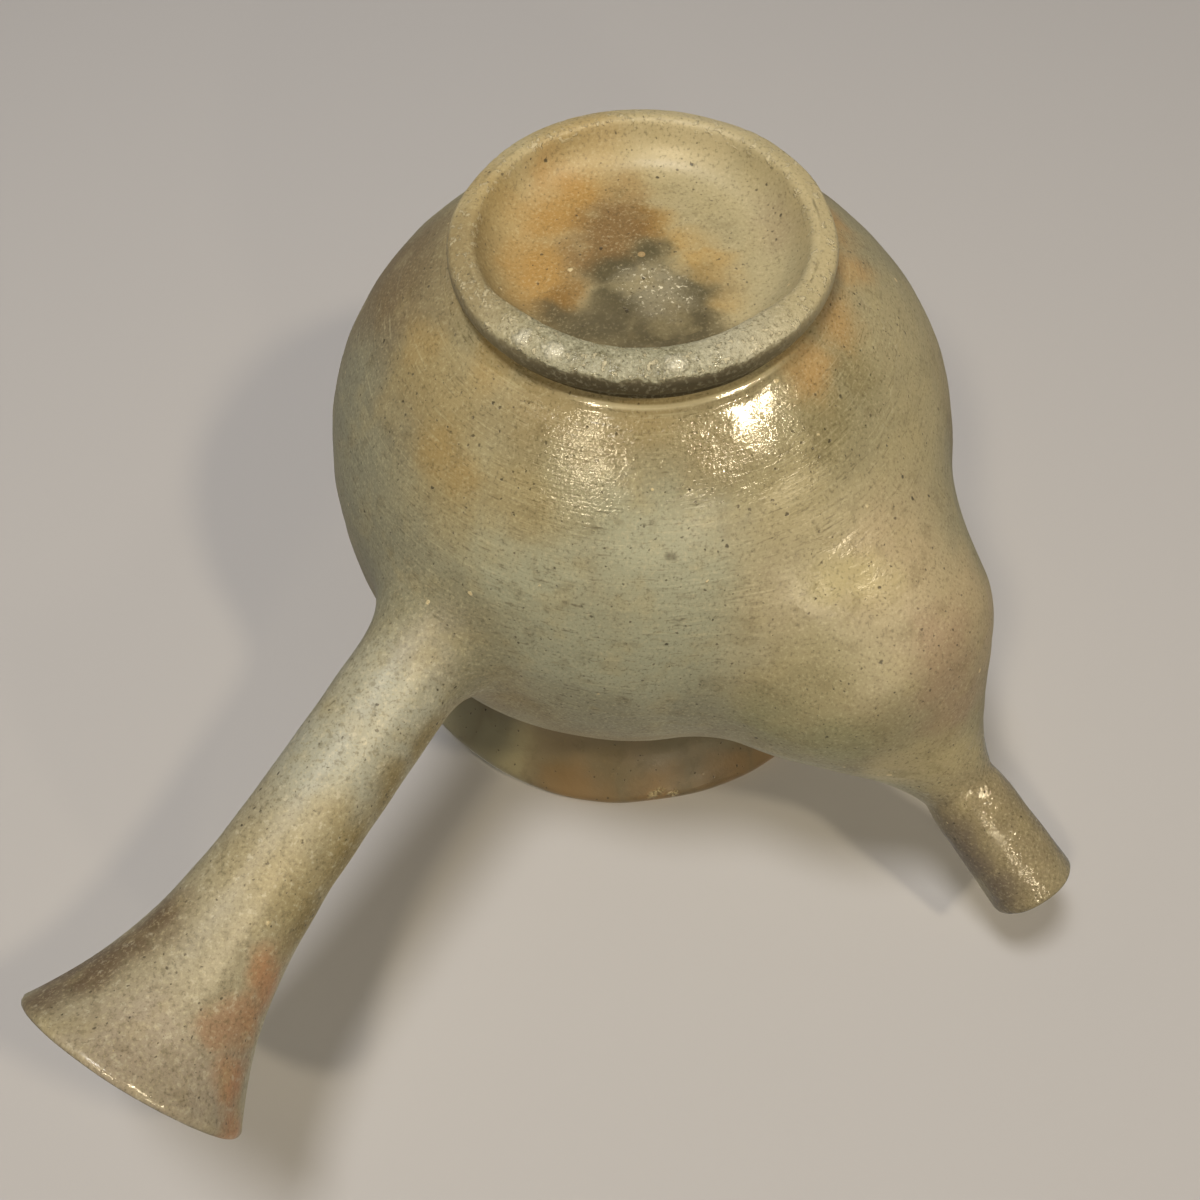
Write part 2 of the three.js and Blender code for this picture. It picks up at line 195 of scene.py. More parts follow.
def handle_radius(t):
    flare = HANDLE_FLARE * np.clip(t / HANDLE_LENGTH, 0, 1.1) ** HANDLE_FLARE_POWER
    swell = HANDLE_SWELL * np.exp(-np.maximum(t, 0) / HANDLE_SWELL_LENGTH)
    return HANDLE_NECK_RADIUS + flare + swell


def pot_gap(points):
    """How far points lie outside the pot's wall."""
    z = points[..., 2]
    lower = z < WIDEST_Z
    power = np.where(lower, LOWER_POWER, UPPER_POWER)
    height = np.where(lower, WIDEST_Z - LOWER_POLE_Z, UPPER_POLE_Z - WIDEST_Z)
    out = norm(points[..., :2] - lean_at(z), axis=-1) + 1e-9
    away = np.abs(z - WIDEST_Z) + 1e-9
    level = (out / BODY_RADIUS) ** power + (away / height) ** power - 1
    across = power * out ** (power - 1) / BODY_RADIUS**power
    upward = power * away ** (power - 1) / height**power
    return level / np.hypot(across, upward)


class Branch:
    """A hollow round branch of clay on the pot, that runs one way from its start."""

    def __init__(self, start, azimuth, rise, back, length, lip, radius_at, walls):
        self.start = np.array(start)
        self.way = direction(azimuth, rise)
        self.back = back
        self.length = length
        self.lip = lip
        self.radius_at = radius_at
        self.walls = walls

    def gap(self, points):
        """How far points lie outside the branch, whose back end lies in the pot."""
        offset = points - self.start
        t = offset @ self.way
        out = norm(offset - t[..., None] * self.way, axis=-1)
        along = np.maximum(t, self.back)
        slope = self.radius_at(along + 0.5) - self.radius_at(along - 0.5)
        side = (out - self.radius_at(along)) / np.hypot(1, slope)
        behind = self.back - t
        outside = np.hypot(np.maximum(side, 0), np.maximum(behind, 0))
        return outside + np.minimum(np.maximum(side, behind), 0)

    def ring(self, around):
        """Ways square to the branch, all round it."""
        aside = np.cross(self.way, [0, 0, 1])
        aside /= norm(aside)
        above = np.cross(self.way, aside)
        angle = np.arange(around) * math.tau / around
        return np.outer(np.cos(angle), aside) + np.outer(np.sin(angle), above)

    def wall_at(self, t):
        """Thickness of the branch's wall, which changes evenly from its start to its end."""
        first, last = self.walls
        return first + (last - first) * np.clip(t / self.length, 0, 1)

    def bore_at(self, t):
        return self.radius_at(t) - self.wall_at(t)

    def place(self, t, radius, ring):
        """Points at lengths along the branch and radii from its middle."""
        return self.start + t[..., None] * self.way + radius[..., None] * ring


SPOUT = Branch(
    start=(1.5, -38.3, 42.9),
    azimuth=-90,
    rise=32,
    back=-14.0,
    length=SPOUT_LENGTH,
    lip=0.9,
    radius_at=spout_radius,
    walls=(SPOUT_WALL, SPOUT_WALL),
)
HANDLE = Branch(
    start=(41.8, -4.2, 41.1),
    azimuth=-14.3,
    rise=8.3,
    back=-8.0,
    length=HANDLE_LENGTH,
    lip=1.0,
    radius_at=handle_radius,
    walls=(HANDLE_WALL, HANDLE_LIP_WALL),
)


def merge(one, other, width):
    """The nearer of two gaps, with clay filling the corner between them."""
    overlap = np.maximum(width - np.abs(one - other), 0) / width
    return np.minimum(one, other) - overlap**2 * width / 4


def wander(points, size, seed):
    """A slow change of about -1 to 1 from place to place, as hands leave in clay."""
    chance = np.random.default_rng(seed)
    total = np.zeros(points.shape[:-1])
    for _ in range(9):
        way = chance.normal(size=3)
        way *= math.tau / size * chance.uniform(0.6, 1.5) / norm(way)
        total += np.sin(points @ way + chance.uniform(0, math.tau))
    return total / 4


def hand_relief(points):
    """Height of the unevenness left by throwing, never above the true shape."""
    z = points[..., 2]
    rings = np.sin(z * math.tau / RING_SPACING + wander(points, 60, 4) * 2)
    relief = (
        WAVE_HEIGHT * wander(points, WAVE_SIZE, 1)
        + RIPPLE_HEIGHT * wander(points, RIPPLE_SIZE, 2)
        + RING_HEIGHT * rings
        - RELIEF_DEPTH
    )
    from_ridge = (norm(points[..., :2], axis=-1) - RIDGE_RADIUS) / RIDGE_WIDTH
    return relief + RIDGE_HEIGHT * np.exp(-(from_ridge**2)) * (z < RIDGE_TOP_Z)


def skin_gap(points):
    """How far points lie outside the pot with its spout and handle luted on."""
    gap = merge(pot_gap(points), SPOUT.gap(points), SPOUT_BLEND)
    return merge(gap, HANDLE.gap(points), HANDLE_BLEND) - hand_relief(points)


def settle(points, furthest=5.0, rounds=7):
    """Moves points up or down the slope of the skin's gap until they lie on the skin."""
    reach = 0.02
    least_steepness = 0.2
    start = points
    for _ in range(rounds):
        sides = [skin_gap(points + step) - skin_gap(points - step) for step in np.eye(3) * reach]
        slope = np.stack(sides, axis=-1) / (2 * reach)
        steepness = np.maximum((slope**2).sum(-1), least_steepness)
        points = points - (skin_gap(points) / steepness)[..., None] * slope
        moved = points - start
        length = norm(moved, axis=-1, keepdims=True)
        points = start + moved * np.minimum(1, furthest / np.maximum(length, 1e-9))
    return points


def tuck(points, depth, cover=0.7, fall=2.4):
    """Settles points, but leaves those deeper than a cover under another piece where they are."""
    under = smoothstep(depth, cover, cover + fall)[..., None]
    return settle(points) * (1 - under) + points * under


# Ways of making a mesh


def put(name, data):
    """A new object in the scene that holds some data."""
    item = bpy.data.objects.new(name, data)
    bpy.context.scene.collection.objects.link(item)
    return item


def rounded(corners, detail=7):
    """A path through (radius, height, rounding) corners, each rounded by that length."""
    corners = np.array(corners, float)
    path = [corners[0, :2]]
    for before, at, after in zip(corners, corners[1:], corners[2:]):
        back, on = before[:2] - at[:2], after[:2] - at[:2]
        length = min(at[2], norm(back) / 2, norm(on) / 2)
        start = at[:2] + back / norm(back) * length
        end = at[:2] + on / norm(on) * length
        for share in np.linspace(0, 1, detail if length else 1):
            path.append((1 - share) ** 2 * start + 2 * share * (1 - share) * at[:2] + share**2 * end)
    path.append(corners[-1, :2])
    return np.array(path)


def evenly(path, step):
    """Points a step apart along a path."""
    lengths = norm(np.diff(path, axis=0), axis=1)
    along = np.concatenate([[0], np.cumsum(lengths)])
    stations = np.linspace(0, along[-1], max(2, round(along[-1] / step)) + 1)
    return np.stack([np.interp(stations, along, column) for column in path.T], axis=-1)


def turned(path, around, axis=(0, 0)):
    """Rows of points from a path of radius and height, turned about an upright axis."""
    angle = np.arange(around) * math.tau / around
    radius, z = path[:, :1], path[:, 1:]
    x = radius * np.cos(angle) + axis[0]
    y = radius * np.sin(angle) + axis[1]
    return np.stack([x, y, np.broadcast_to(z, x.shape)], axis=-1)


def thrown(corners, step, around, axis=(0, 0)):
    """Rows a step apart, from rounded corners turned about an upright axis."""
    return turned(evenly(rounded(corners), step), around, axis)


def sheet(rows, wrap=False, caps=False):
    """Vertices and faces of rows of points that run round a piece, facing out where the rows
    climb the outside. Wrap joins the last row to the first, and caps close both ends."""
    count, around = rows.shape[:2]
    low = np.arange(count if wrap else count - 1)[:, None] * around
    high = (low + around) % (count * around)
    here = np.arange(around)
    there = (here + 1) % around
    faces = np.stack([low + here, low + there, high + there, high + here], axis=-1)
    faces = faces.reshape(-1, 4).tolist()
    points = rows.reshape(-1, 3)
    if caps:
        last = (count - 1) * around
        points = np.vstack([points, rows[0].mean(0), rows[-1].mean(0)])
        pairs = list(zip(here.tolist(), there.tolist()))
        faces += [[i, count * around, j] for i, j in pairs]
        faces += [[last + j, count * around + 1, last + i] for i, j in pairs]
    return points, faces


def fired(name, shape, clays, body, node, bare_from=None):
    """A named piece in the part's frame that stands for a node and rides on its body. Faces from
    a number on have the second of its clays."""
    points, faces = shape
    points = (points + [*POT_AXIS, 0]) * MM
    mesh = bpy.data.meshes.new(name)
    mesh.from_pydata(points.tolist(), [], faces)
    for clay in clays:
        mesh.materials.append(clay)
    if bare_from is not None:
        bare = np.arange(len(faces)) >= bare_from
        mesh.polygons.foreach_set("material_index", bare.astype(np.int32))
    mesh.shade_smooth()
    piece = put(name, mesh)
    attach(piece, body)
    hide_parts(node)
    return piece


def pierce(piece, tools):
    """Cuts holes through a piece with closed tools, given as vertices and faces."""
    vertices, faces = [], []
    for points, sides in tools:
        faces += [[i + len(vertices) for i in side] for side in sides]
        vertices += ((points + [*POT_AXIS, 0]) * MM).tolist()
    mesh = bpy.data.meshes.new("tool")
    mesh.from_pydata(vertices, [], faces)
    mesh.shade_smooth()
    tool = put("tool", mesh)
    cut = piece.modifiers.new("pierce", "BOOLEAN")
    cut.operation = "DIFFERENCE"
    cut.solver = "EXACT"
    cut.object = tool
    held = bpy.context.evaluated_depsgraph_get()
    piece.data = bpy.data.meshes.new_from_object(piece.evaluated_get(held))
    piece.modifiers.clear()
    bpy.data.objects.remove(tool)


def rod(centre, way, radius, length, sides):
    """A closed round tool through a centre, along a way."""
    angle = np.arange(sides) * math.tau / sides
    aside = np.cross(way, [0.3, 0.5, 0.81])
    aside /= norm(aside)
    ring = radius * (np.outer(np.cos(angle), aside) + np.outer(np.sin(angle), np.cross(way, aside)))
    ends = [np.array(centre) + ring + np.array(way) * length * side for side in (-0.5, 0.5)]
    return sheet(np.array(ends), caps=True)


# Pieces of clay


def bowl_outside(around):
    """Rows up the outside of the bowl, close together beside the foot."""
    count = 600
    beside_foot = np.linspace(underside_z(22.5), BESIDE_FOOT_Z, count)
    z = np.concatenate([beside_foot, np.linspace(BESIDE_FOOT_Z, NECK_Z, 1500)[1:]])
    wall = np.stack([pot_radius(z), z], axis=-1)
    low, high = evenly(wall[:count], BESIDE_FOOT_STEP), evenly(wall[count - 1 :], WALL_STEP)
    rows = turned(np.concatenate([low, high[1:]]), around)
    rows[..., :2] += lean_at(rows[..., 2])
    return tuck(rows, -np.minimum(SPOUT.gap(rows), HANDLE.gap(rows)))


def bowl_inside(around):
    """Rows down the inside of the bowl and over its floor."""
    z = np.linspace(NECK_Z, FLOOR_Z + 2, 800)
    wall = np.stack([pot_radius(z, WALL), z], axis=-1)
    edge = wall[-1]
    floor = rounded([(*edge, 0), (edge[0] - 5, FLOOR_Z, 6), (0.5, FLOOR_Z, 0)])
    path = np.concatenate([evenly(wall, INSIDE_STEP), evenly(floor, INSIDE_STEP)[1:]])
    rows = turned(path, around)
    rows[..., :2] += lean_at(rows[..., 2])
    return rows


def throw_pot(skin, bare):
    """The bowl: recessed underside, rounded wall, flat top of the neck, inner wall and floor."""
    around = 340
    dish = [(0.5, DISH_CENTRE_Z, 0), (DISH_RADIUS, DISH_Z, 5), (20, 5.6, 1), (21.5, 5.8, 0)]
    outside = np.concatenate([thrown(dish, DISH_STEP, around), bowl_outside(around)])
    shape = sheet(np.concatenate([outside, bowl_inside(around)]), caps=True)
    bare_from = len(outside) * around
    pot = fired("pot_wall", shape, [skin, bare], "pot", "body", bare_from)
    hole = (STRAINER_CENTRE[0], -BODY_RADIUS, STRAINER_CENTRE[2])
    pierce(pot, [rod(hole, (0, 1, 0), SPOUT_HOLE_RADIUS, length=30, sides=48)])


def turn_foot(crust):
    """The foot ring: soft inner slope, narrow flat, bevel, wall and undercut."""
    corners = [
        (22.5, 6.8, 0), (13.3, 6.2, 0.1), (13.5, 5.27, 0.1), (17.6, 5.3, 1.9),
        (20.4, 3.4, 1.9), (FOOT_INNER_RADIUS, 0, 1), (23.3, 0, 0.7), (25.3, 0.85, 0.8),
        (FOOT_RADIUS, 1.7, 0.7), (FOOT_RADIUS - 0.15, 3.5, 0.9), (UNDERCUT_RADIUS, 4.6, 0.5),
        (UNDERCUT_RADIUS, 6.6, 0),
    ]
    shape = sheet(rough_crust(thrown(corners, FOOT_STEP, 420)), wrap=True)
    fired("foot", shape, [crust], "pot", "foot_ring")


def rough_crust(rows):
    """Lumps of ash on the foot's flat and bevel, the wander of the turning tool, and a bank of
    ash on the inner edge in front."""
    crest = 23.0
    lump = 0.09
    bank = 1.3
    out = norm(rows[..., :2], axis=-1)
    low = smoothstep(rows[..., 2], 3.6, 1.2) * smoothstep(out, 19.5, 21.5)
    lumps = np.maximum(wander(rows, 2.6, 11) * wander(rows, 1.3, 12), 0)
    inwards = (lump * lumps + lump * wander(rows, 16, 13) + lump) * low
    rows = rows.copy()
    from_crest = np.sign(out - crest) * smoothstep(out, 20.5, 22.5)
    rows[..., :2] *= (1 - inwards * from_crest / out)[..., None]
    rows[..., 2] = np.maximum(rows[..., 2] + 0.6 * inwards, 0)
    front = smoothstep((rows[..., 0] - rows[..., 1]) / math.sqrt(2) / out, 0.4, 0.8)
    piled = bank * front * smoothstep(out, 23.0, 21.9) * smoothstep(rows[..., 2], 4.4, 0.6)
    rows[..., :2] *= (1 - piled / out)[..., None]
    return rows


def throw_collar(flashed):
    """The flared collar, with a fillet on the shoulder and a thin rounded lip."""
    lip = LIP / 2
    top = RIM_RADIUS - 0.1
    outer = rounded([(36.9, 67.9, 0), (34.6, 70.4, 3.2), (35.5, 75.6, 5), (top, 83.4, 0)])
    angle = np.linspace(-0.3, math.pi - 0.5, 12)
    across, upward = lip * np.cos(angle), lip * np.sin(angle)
    round_lip = np.stack([RIM_RADIUS - lip + across, RIM_Z - lip + upward], axis=-1)
    inner = rounded([(40.2, 83.6, 0), (33, 76.8, 6), (30.8, 70.3, 1.5), (30.8, 67.6, 0)])
    rows = turned(evenly(np.concatenate([outer, round_lip, inner]), COLLAR_STEP), 340, LEAN)
    out = rows[..., :2] - LEAN
    relief = hand_relief(rows)[..., None] / norm(out, axis=-1, keepdims=True)
    rows[..., :2] = LEAN + out * (1 + relief)
    fired("mouth", sheet(rows, wrap=True), [flashed], "pot", "mouth_collar")


def fit_ledge(bare):
    """The ledge in the neck that the lid rests on."""
    corners = [(33.6, 65.8, 0), (27, 67.3, 0.8), (25.6, 68.3, 0.5), (26, 70, 0.5), (33.5, 70, 0)]
    shape = sheet(thrown(corners, RING_STEP, 240, LEAN)[::-1], wrap=True)
    fired("ledge", shape, [bare], "pot", "lid_ledge")


def leaves_at(count, near, far, inside, rounds):
    """Where each line, from a near end to a far one, stops being inside."""
    near, far = np.full(count, near), np.full(count, far)
    for _ in range(rounds):
        middle = (near + far) / 2
        within = inside(middle)
        near, far = np.where(within, middle, near), np.where(within, far, middle)
    return near


def branch_root(branch, ring, radius_at, depth):
    """How far along the branch each of its lines leaves the pot, at a depth under the skin."""

    def inside(t):
        return pot_gap(branch.place(t, radius_at(t), ring)) < -depth

    return leaves_at(len(ring), -16.0, 25.0, inside, 40)


def branch_lip(branch, ring):
    """Rows round the rounded lip at a branch's far end, from the outside in."""
    angle = np.linspace(0, math.pi, LIP_STEPS + 1)[1:-1, None]
    edge = np.array(branch.length - branch.lip)
    half = branch.wall_at(edge) / 2
    middle = branch.radius_at(edge) - half
    across = np.sign(np.cos(angle)) * np.abs(np.cos(angle)) ** LIP_POWER
    along = edge + branch.lip * np.sin(angle) ** LIP_POWER
    ones = np.ones((1, len(ring)))
    return branch.place(along * ones, (middle + half * across) * ones, ring)


def throw_branch(name, branch, around, clays, node):
    """A hollow branch, whose root follows the pot's wall a little under its skin."""
    ring = branch.ring(around)
    edge = branch.length - branch.lip
    shares = np.linspace(0, 1, round((branch.length + 8) / BRANCH_STEP) + 1)[:, None]
    root = branch_root(branch, ring, branch.radius_at, OUTER_ROOT_DEPTH)
    t = root + (edge - root) * shares
    raw = branch.place(t, branch.radius_at(t), ring)
    outer = tuck(raw, -pot_gap(raw))
    shift = outer[-1] - raw[-1]
    lip = branch_lip(branch, ring) + shift

    root = branch_root(branch, ring, branch.bore_at, INNER_ROOT_DEPTH)
    t = edge + (root - branch.length + branch.lip) * shares[::2]
    fade = np.exp(-np.maximum(branch.length - t, 0) / 6)[..., None]
    inner = branch.place(t, branch.bore_at(t), ring) + shift * fade
    shape = sheet(np.concatenate([outer, lip, inner]), wrap=True)
    bare_from = (len(outer) + len(lip) + SKIN_ROWS_INSIDE_LIP) * around
    fired(name, shape, clays, "pot", node, bare_from)


def strainer_holes(centre):
    """Tools for the strainer's holes, square to its dome, one in the middle and rings round it."""
    holes = []
    for ring in range(STRAINER_RINGS + 1):
        count = max(1, ring * 6)
        polar = math.radians(STRAINER_RING_STEP * ring)
        flat = math.sin(polar)
        for i in range(count):
            turn = math.radians(360 * i / count + STRAINER_RING_TURN * ring)
            way = np.array([flat * math.cos(turn), math.cos(polar), flat * math.sin(turn)])
            middle = centre + way * STRAINER_RADIUS
            holes.append(rod(middle, way, STRAINER_HOLE_RADIUS, length=9, sides=16))
    return holes


def pierce_strainer(bare):
    """The pierced dome luted over the hole behind the spout."""
    centre = np.array(STRAINER_CENTRE)
    around = 120
    angle = np.arange(around) * math.tau / around

    def shell(radius, polar):
        flat = radius * np.sin(polar)
        height = np.broadcast_to(radius * np.cos(polar), flat.shape)
        return centre + np.stack([flat * np.cos(angle), height, flat * np.sin(angle)], axis=-1)

    def edge(radius):
        return leaves_at(
            around, 0.1, 1.6, lambda polar: pot_gap(shell(radius, polar)) < -WALL + 0.4, 30
        )

    shares = np.linspace(0.01, 1, 26)[:, None]
    inside = STRAINER_RADIUS - STRAINER_WALL
    outer = shell(STRAINER_RADIUS, edge(STRAINER_RADIUS) * shares)
    inner = shell(inside, edge(inside) * shares[::-1])
    shape = sheet(np.concatenate([outer, inner]), caps=True)
    dome = fired("strainer_dome", shape, [bare], "pot", "strainer")
    pierce(dome, strainer_holes(centre))


def throw_lid(skin):
    """The lid plate, hollow underneath and domed a little, with a steam hole."""
    corners = [
        (0.4, 73.1, 0), (18, 73, 6), (22.2, 70.3, 1.5), (29.2, 70.3, 0.7),
        (29.8, 71.6, 0.9), (28.6, 72.9, 1), (14, 76, 9), (0.4, 76.2, 0),
    ]
    shape = sheet(thrown(corners, LID_STEP, 260, LEAN), caps=True)
    lid = fired("lid_plate", shape, [skin], "lid", "lid")
    from_centre, radius = STEAM_HOLE
    hole = (LEAN[0], LEAN[1] - from_centre, 73)
    pierce(lid, [rod(hole, (0, 0, 1), radius, length=20, sides=24)])


def throw_flange(bare):
    """The ring under the lid that keeps it centred."""
    corners = [
        (22.6, 71.4, 0), (22.6, 64.8, 0.8), (24.7, 64.8, 0.8), (24.8, 70.6, 0.3),
        (24.8, 71.4, 0),
    ]
    shape = sheet(thrown(corners, RING_STEP, 240, LEAN), wrap=True)
    fired("locating_ring", shape, [bare], "lid", "lid_flange")


def throw_knob(flashed):
    """The button knob, waisted under its cap."""
    corners = [
        (0.3, 75.4, 0), (5.6, 75.4, 0.2), (4, 77.8, 1.6), (4.2, 79.8, 1.2),
        (6.9, 81.2, 1.2), (6.3, 83.8, 1.6), (2, 84.2, 2), (0.3, 84.1, 0),
    ]
    shape = sheet(thrown(corners, KNOB_STEP, 120, LEAN), caps=True)
    fired("knob", shape, [flashed], "lid", "lid_knob")


# Finishes


def srgb(code):
    """A hex colour as linear red, green, blue and opacity."""
    channels = [int(code[i : i + 2], 16) / 255 for i in (1, 3, 5)]
    return [c / 12.92 if c <= 0.04045 else ((c + 0.055) / 1.055) ** 2.4 for c in channels] + [1.0]


def empty_tree(holder):
    """The node tree of a material or world, without any node."""
    holder.use_nodes = True
    holder.node_tree.nodes.clear()
    return holder.node_tree


def add(tree, kind, links=None, **settings):
    """Adds a node of a kind with its settings, and sets or links its inputs."""
    node = tree.nodes.new("ShaderNode" + kind)
    for setting, value in settings.items():
        setattr(node, setting, value)
    for socket, source in (links or {}).items():
        if isinstance(source, bpy.types.NodeSocket):
            tree.links.new(source, node.inputs[socket])
        else:
            node.inputs[socket].default_value = source
    return node


class Clay:
    """A fired clay as a node tree, with sizes and places in millimetres from the pot's axis. Out
    is how far a place lies from the axis, and height is how far above the ground."""

    def __init__(self, name, colour):
        self.material = bpy.data.materials.new(name)
        self.tree = empty_tree(self.material)
        local = add(self.tree, "TexCoord").outputs["Object"]
        shift = (*-POT_AXIS, 0)
        self.place = self.vector("MULTIPLY_ADD", local, (1 / MM,) * 3, shift)
        tilt = {"Vector": self.place, "Axis": (0.6, 0.5, 0.62), "Angle": 0.9}
        self.tilted = add(self.tree, "VectorRotate", tilt).outputs[0]
        self.height = add(self.tree, "SeparateXYZ", {0: self.place}).outputs[2]
        level = self.vector("MULTIPLY", self.place, (1, 1, 0))
        self.out = add(self.tree, "VectorMath", {0: level}, operation="LENGTH").outputs["Value"]
        self.colour = srgb(colour)
        drift = self.jitter(self.place, 1 / 9, 5)
        self.drifting = self.vector("MULTIPLY_ADD", drift, (11,) * 3, self.place)

    def jitter(self, place, scale, detail):
        """A small noisy way, from -0.5 to 0.5 on each axis, to push places about with."""
        links = {"Vector": place, "Scale": scale, "Detail": detail}
        noisy = add(self.tree, "TexNoise", links).outputs["Color"]
        return self.vector("SUBTRACT", noisy, (0.5,) * 3)

    def vector(self, operation, *inputs):
        links = dict(enumerate(inputs))
        return add(self.tree, "VectorMath", links, operation=operation).outputs["Vector"]

    def math(self, operation, *inputs):
        links = dict(enumerate(inputs))
        return add(self.tree, "Math", links, operation=operation).outputs[0]

    def times(self, *values):
        return reduce(lambda one, other: self.math("MULTIPLY", one, other), values)

    def most(self, *values):
        return reduce(lambda one, other: self.math("MAXIMUM", one, other), values)

    def ease(self, value, low, high, start=0, end=1):
        """A smooth change from a start at the low value to an end at the high one."""
        links = {"Value": value, "From Min": low, "From Max": high, "To Min": start, "To Max": end}
        return add(self.tree, "MapRange", links, interpolation_type="SMOOTHSTEP").outputs[0]

    def noise(self, size, detail=3, roughness=0.5, place=None):
        place = place or self.tilted
        links = {"Vector": place, "Scale": 1 / size, "Detail": detail, "Roughness": roughness}
        return add(self.tree, "TexNoise", links).outputs[0]

    def warp(self, size, detail, reach, roughness=0.5):
        """Places pushed about by a noise, by up to half of a reach, for a ragged outline."""
        half = tuple(-length / 2 for length in reach)
        pushed = self.vector("MULTIPLY_ADD", self.noise(size, detail, roughness), reach, half)
        return self.vector("ADD", pushed, self.place)

    def along_turn(self, long, short):
        """Places drawn out along the wheel's turn, where a noise leaves streaks of two sizes."""
        rise = self.math("SUBTRACT", self.height, WIDEST_Z)
        climb = self.math("ARCTAN2", rise, self.out)
        upward = self.times(climb, BODY_RADIUS / short)
        upward = add(self.tree, "CombineXYZ", {2: upward}).outputs[0]
        return self.vector("MULTIPLY_ADD", self.place, (1 / long, 1 / long, 0), upward)

    def blend(self, colour, *shares):
        """Lays a colour over the clay's colour by a share, or by the product of several."""
        colour = srgb(colour) if isinstance(colour, str) else colour
        links = {0: self.times(*shares), 6: self.colour, 7: colour}
        self.colour = add(self.tree, "Mix", links, data_type="RGBA").outputs[2]

    def near(self, reach, *spots, place=None):
        """A share that is one near any of some spots and falls to nothing past a reach."""
        nearest = None
        for spot in spots:
            links = {0: place or self.drifting, 1: spot}
            away = add(self.tree, "VectorMath", links, operation="DISTANCE").outputs["Value"]
            nearest = away if nearest is None else self.math("MINIMUM", nearest, away)
        return self.ease(nearest, reach * 1.35, reach * 0.3)

    def flash(self, colour, reach, *spots, strength=0.8):
        """Lays a colour that the flame left near some spots."""
        self.blend(colour, self.near(reach, *spots), strength)

    def specks(self, colour, spacing, size, share, strength):
        """Lays uneven specks, in a share of cells of a spacing, and gives where they are."""
        wobble = self.jitter(self.tilted, 2.2, 2)
        wobbly = self.vector("MULTIPLY_ADD", wobble, (0.5,) * 3, self.place)
        cell = add(self.tree, "TexVoronoi", {"Vector": wobbly, "Scale": 1 / spacing})
        chance = add(self.tree, "SeparateColor", {"Color": cell.outputs["Color"]})
        chosen = self.math("LESS_THAN", chance.outputs[0], share)
        radius = self.math("MULTIPLY_ADD", chance.outputs[1], size * 0.7, size * 0.4)
        away = self.times(cell.outputs["Distance"], spacing)
        inside = self.ease(self.math("DIVIDE", away, radius), 1, 0.55)
        spot = self.times(inside, chosen)
        self.blend(colour, spot, strength)
        return spot

    def grain(self):
        """Lays the clay's fine grain, pale and dark, and calmer in the foot's dish."""
        grain = self.noise(0.45, 2, 0.6)
        calm = self.ease(self.near(12, (6, -7, 5)), 0, 1, 0.35, 0.12)
        self.blend("#CFC5A2", self.ease(grain, 0.53, 0.72), calm)
        self.blend("#4F472F", self.ease(grain, 0.46, 0.28, 0, 0.45))

    def iron_and_grit(self):
        """Lays iron specks, fine and coarse, and a few pale grits, and gives their relief."""
        fine = self.specks("#4A4130", spacing=1.25, size=0.23, share=0.7, strength=0.7)
        coarse = self.specks("#3C3424", spacing=2.6, size=0.33, share=0.42, strength=0.85)
        grit = self.specks("#DCCBA0", spacing=5.2, size=0.45, share=0.7, strength=0.9)
        sunk = self.times(self.most(fine, coarse), -0.05)
        return self.math("MULTIPLY_ADD", grit, 0.08, sunk)

    def finish(self, roughness, height):
        """Joins colour, roughness and a height in millimetres to one shader."""
        links = {"Height": height, "Distance": MM, "Strength": 1}
        bump = add(self.tree, "Bump", links).outputs[0]
        links = {"Base Color": self.colour, "Roughness": roughness, "Normal": bump, "IOR": 1.5}
        shader = add(self.tree, "BsdfPrincipled", links)
        add(self.tree, "OutputMaterial", {"Surface": shader.outputs[0]})
        return self.material


def flash_bowl(clay):
    """Flame marks on the bowl: grey-green ash in front, brown behind, orange round the foot."""
    clay.flash("#857659", 26, (-30, 34, 40), (-44, -6, 52), (8, 46, 60))
    clay.flash("#7C6B4D", 13, (27, 26, 14), (18.7, 30, 14), (12, 44, 24), strength=0.9)
    clay.flash("#908E78", 13, (43, 14, 26), (36, 22, 24), (47, 2, 32), strength=0.9)
    clay.flash("#AAAC95", 14, (38, -15, 20), (27, -29, 20), (30, -37, 32), (38, -25, 32), strength=0.9)
    clay.flash("#8E8B73", 9, (46, -10, 34), (38, -31, 46), (28, -39, 44), strength=0.7)
    clay.flash("#A19167", 8, (33.5, 1.5, 11.5), (31, 9, 11), (38, -5, 17), (34, -12, 15))
    clay.flash("#A48B57", 4, (37, 1, 15), (28, 13, 9), (36.5, -4, 16), strength=0.6)
    clay.flash("#A68C55", 4.5, (26, 0, 6.5), (25.5, -7, 6.5), (18, -19, 6.5))
    clay.flash("#938664", 7, (27, -8, 8), (20, -20, 7.5), (12, -26, 8.5), strength=0.7)
    clay.flash("#A99F7E", 8, (13, -38, 19), (17, -42, 27), strength=0.7)
    clay.flash("#AFA37D", 9, (8, -37, 16), (0, -42, 22), (-9, -41, 21), strength=0.7)
    clay.flash("#918763", 6, (-1, -33, 11.5), (-10, -30, 10.5))
    beside_foot = (-2, -27.5, 7.5), (-12, -24, 7.5), (-20, -18, 7.5), (-26, -10, 8)
    clay.flash("#B69059", 5.5, *beside_foot, strength=0.85)
    clay.flash("#B4A883", 11, (-22, -29, 14), (-19, -37, 20), (-30, -30, 24), strength=0.7)


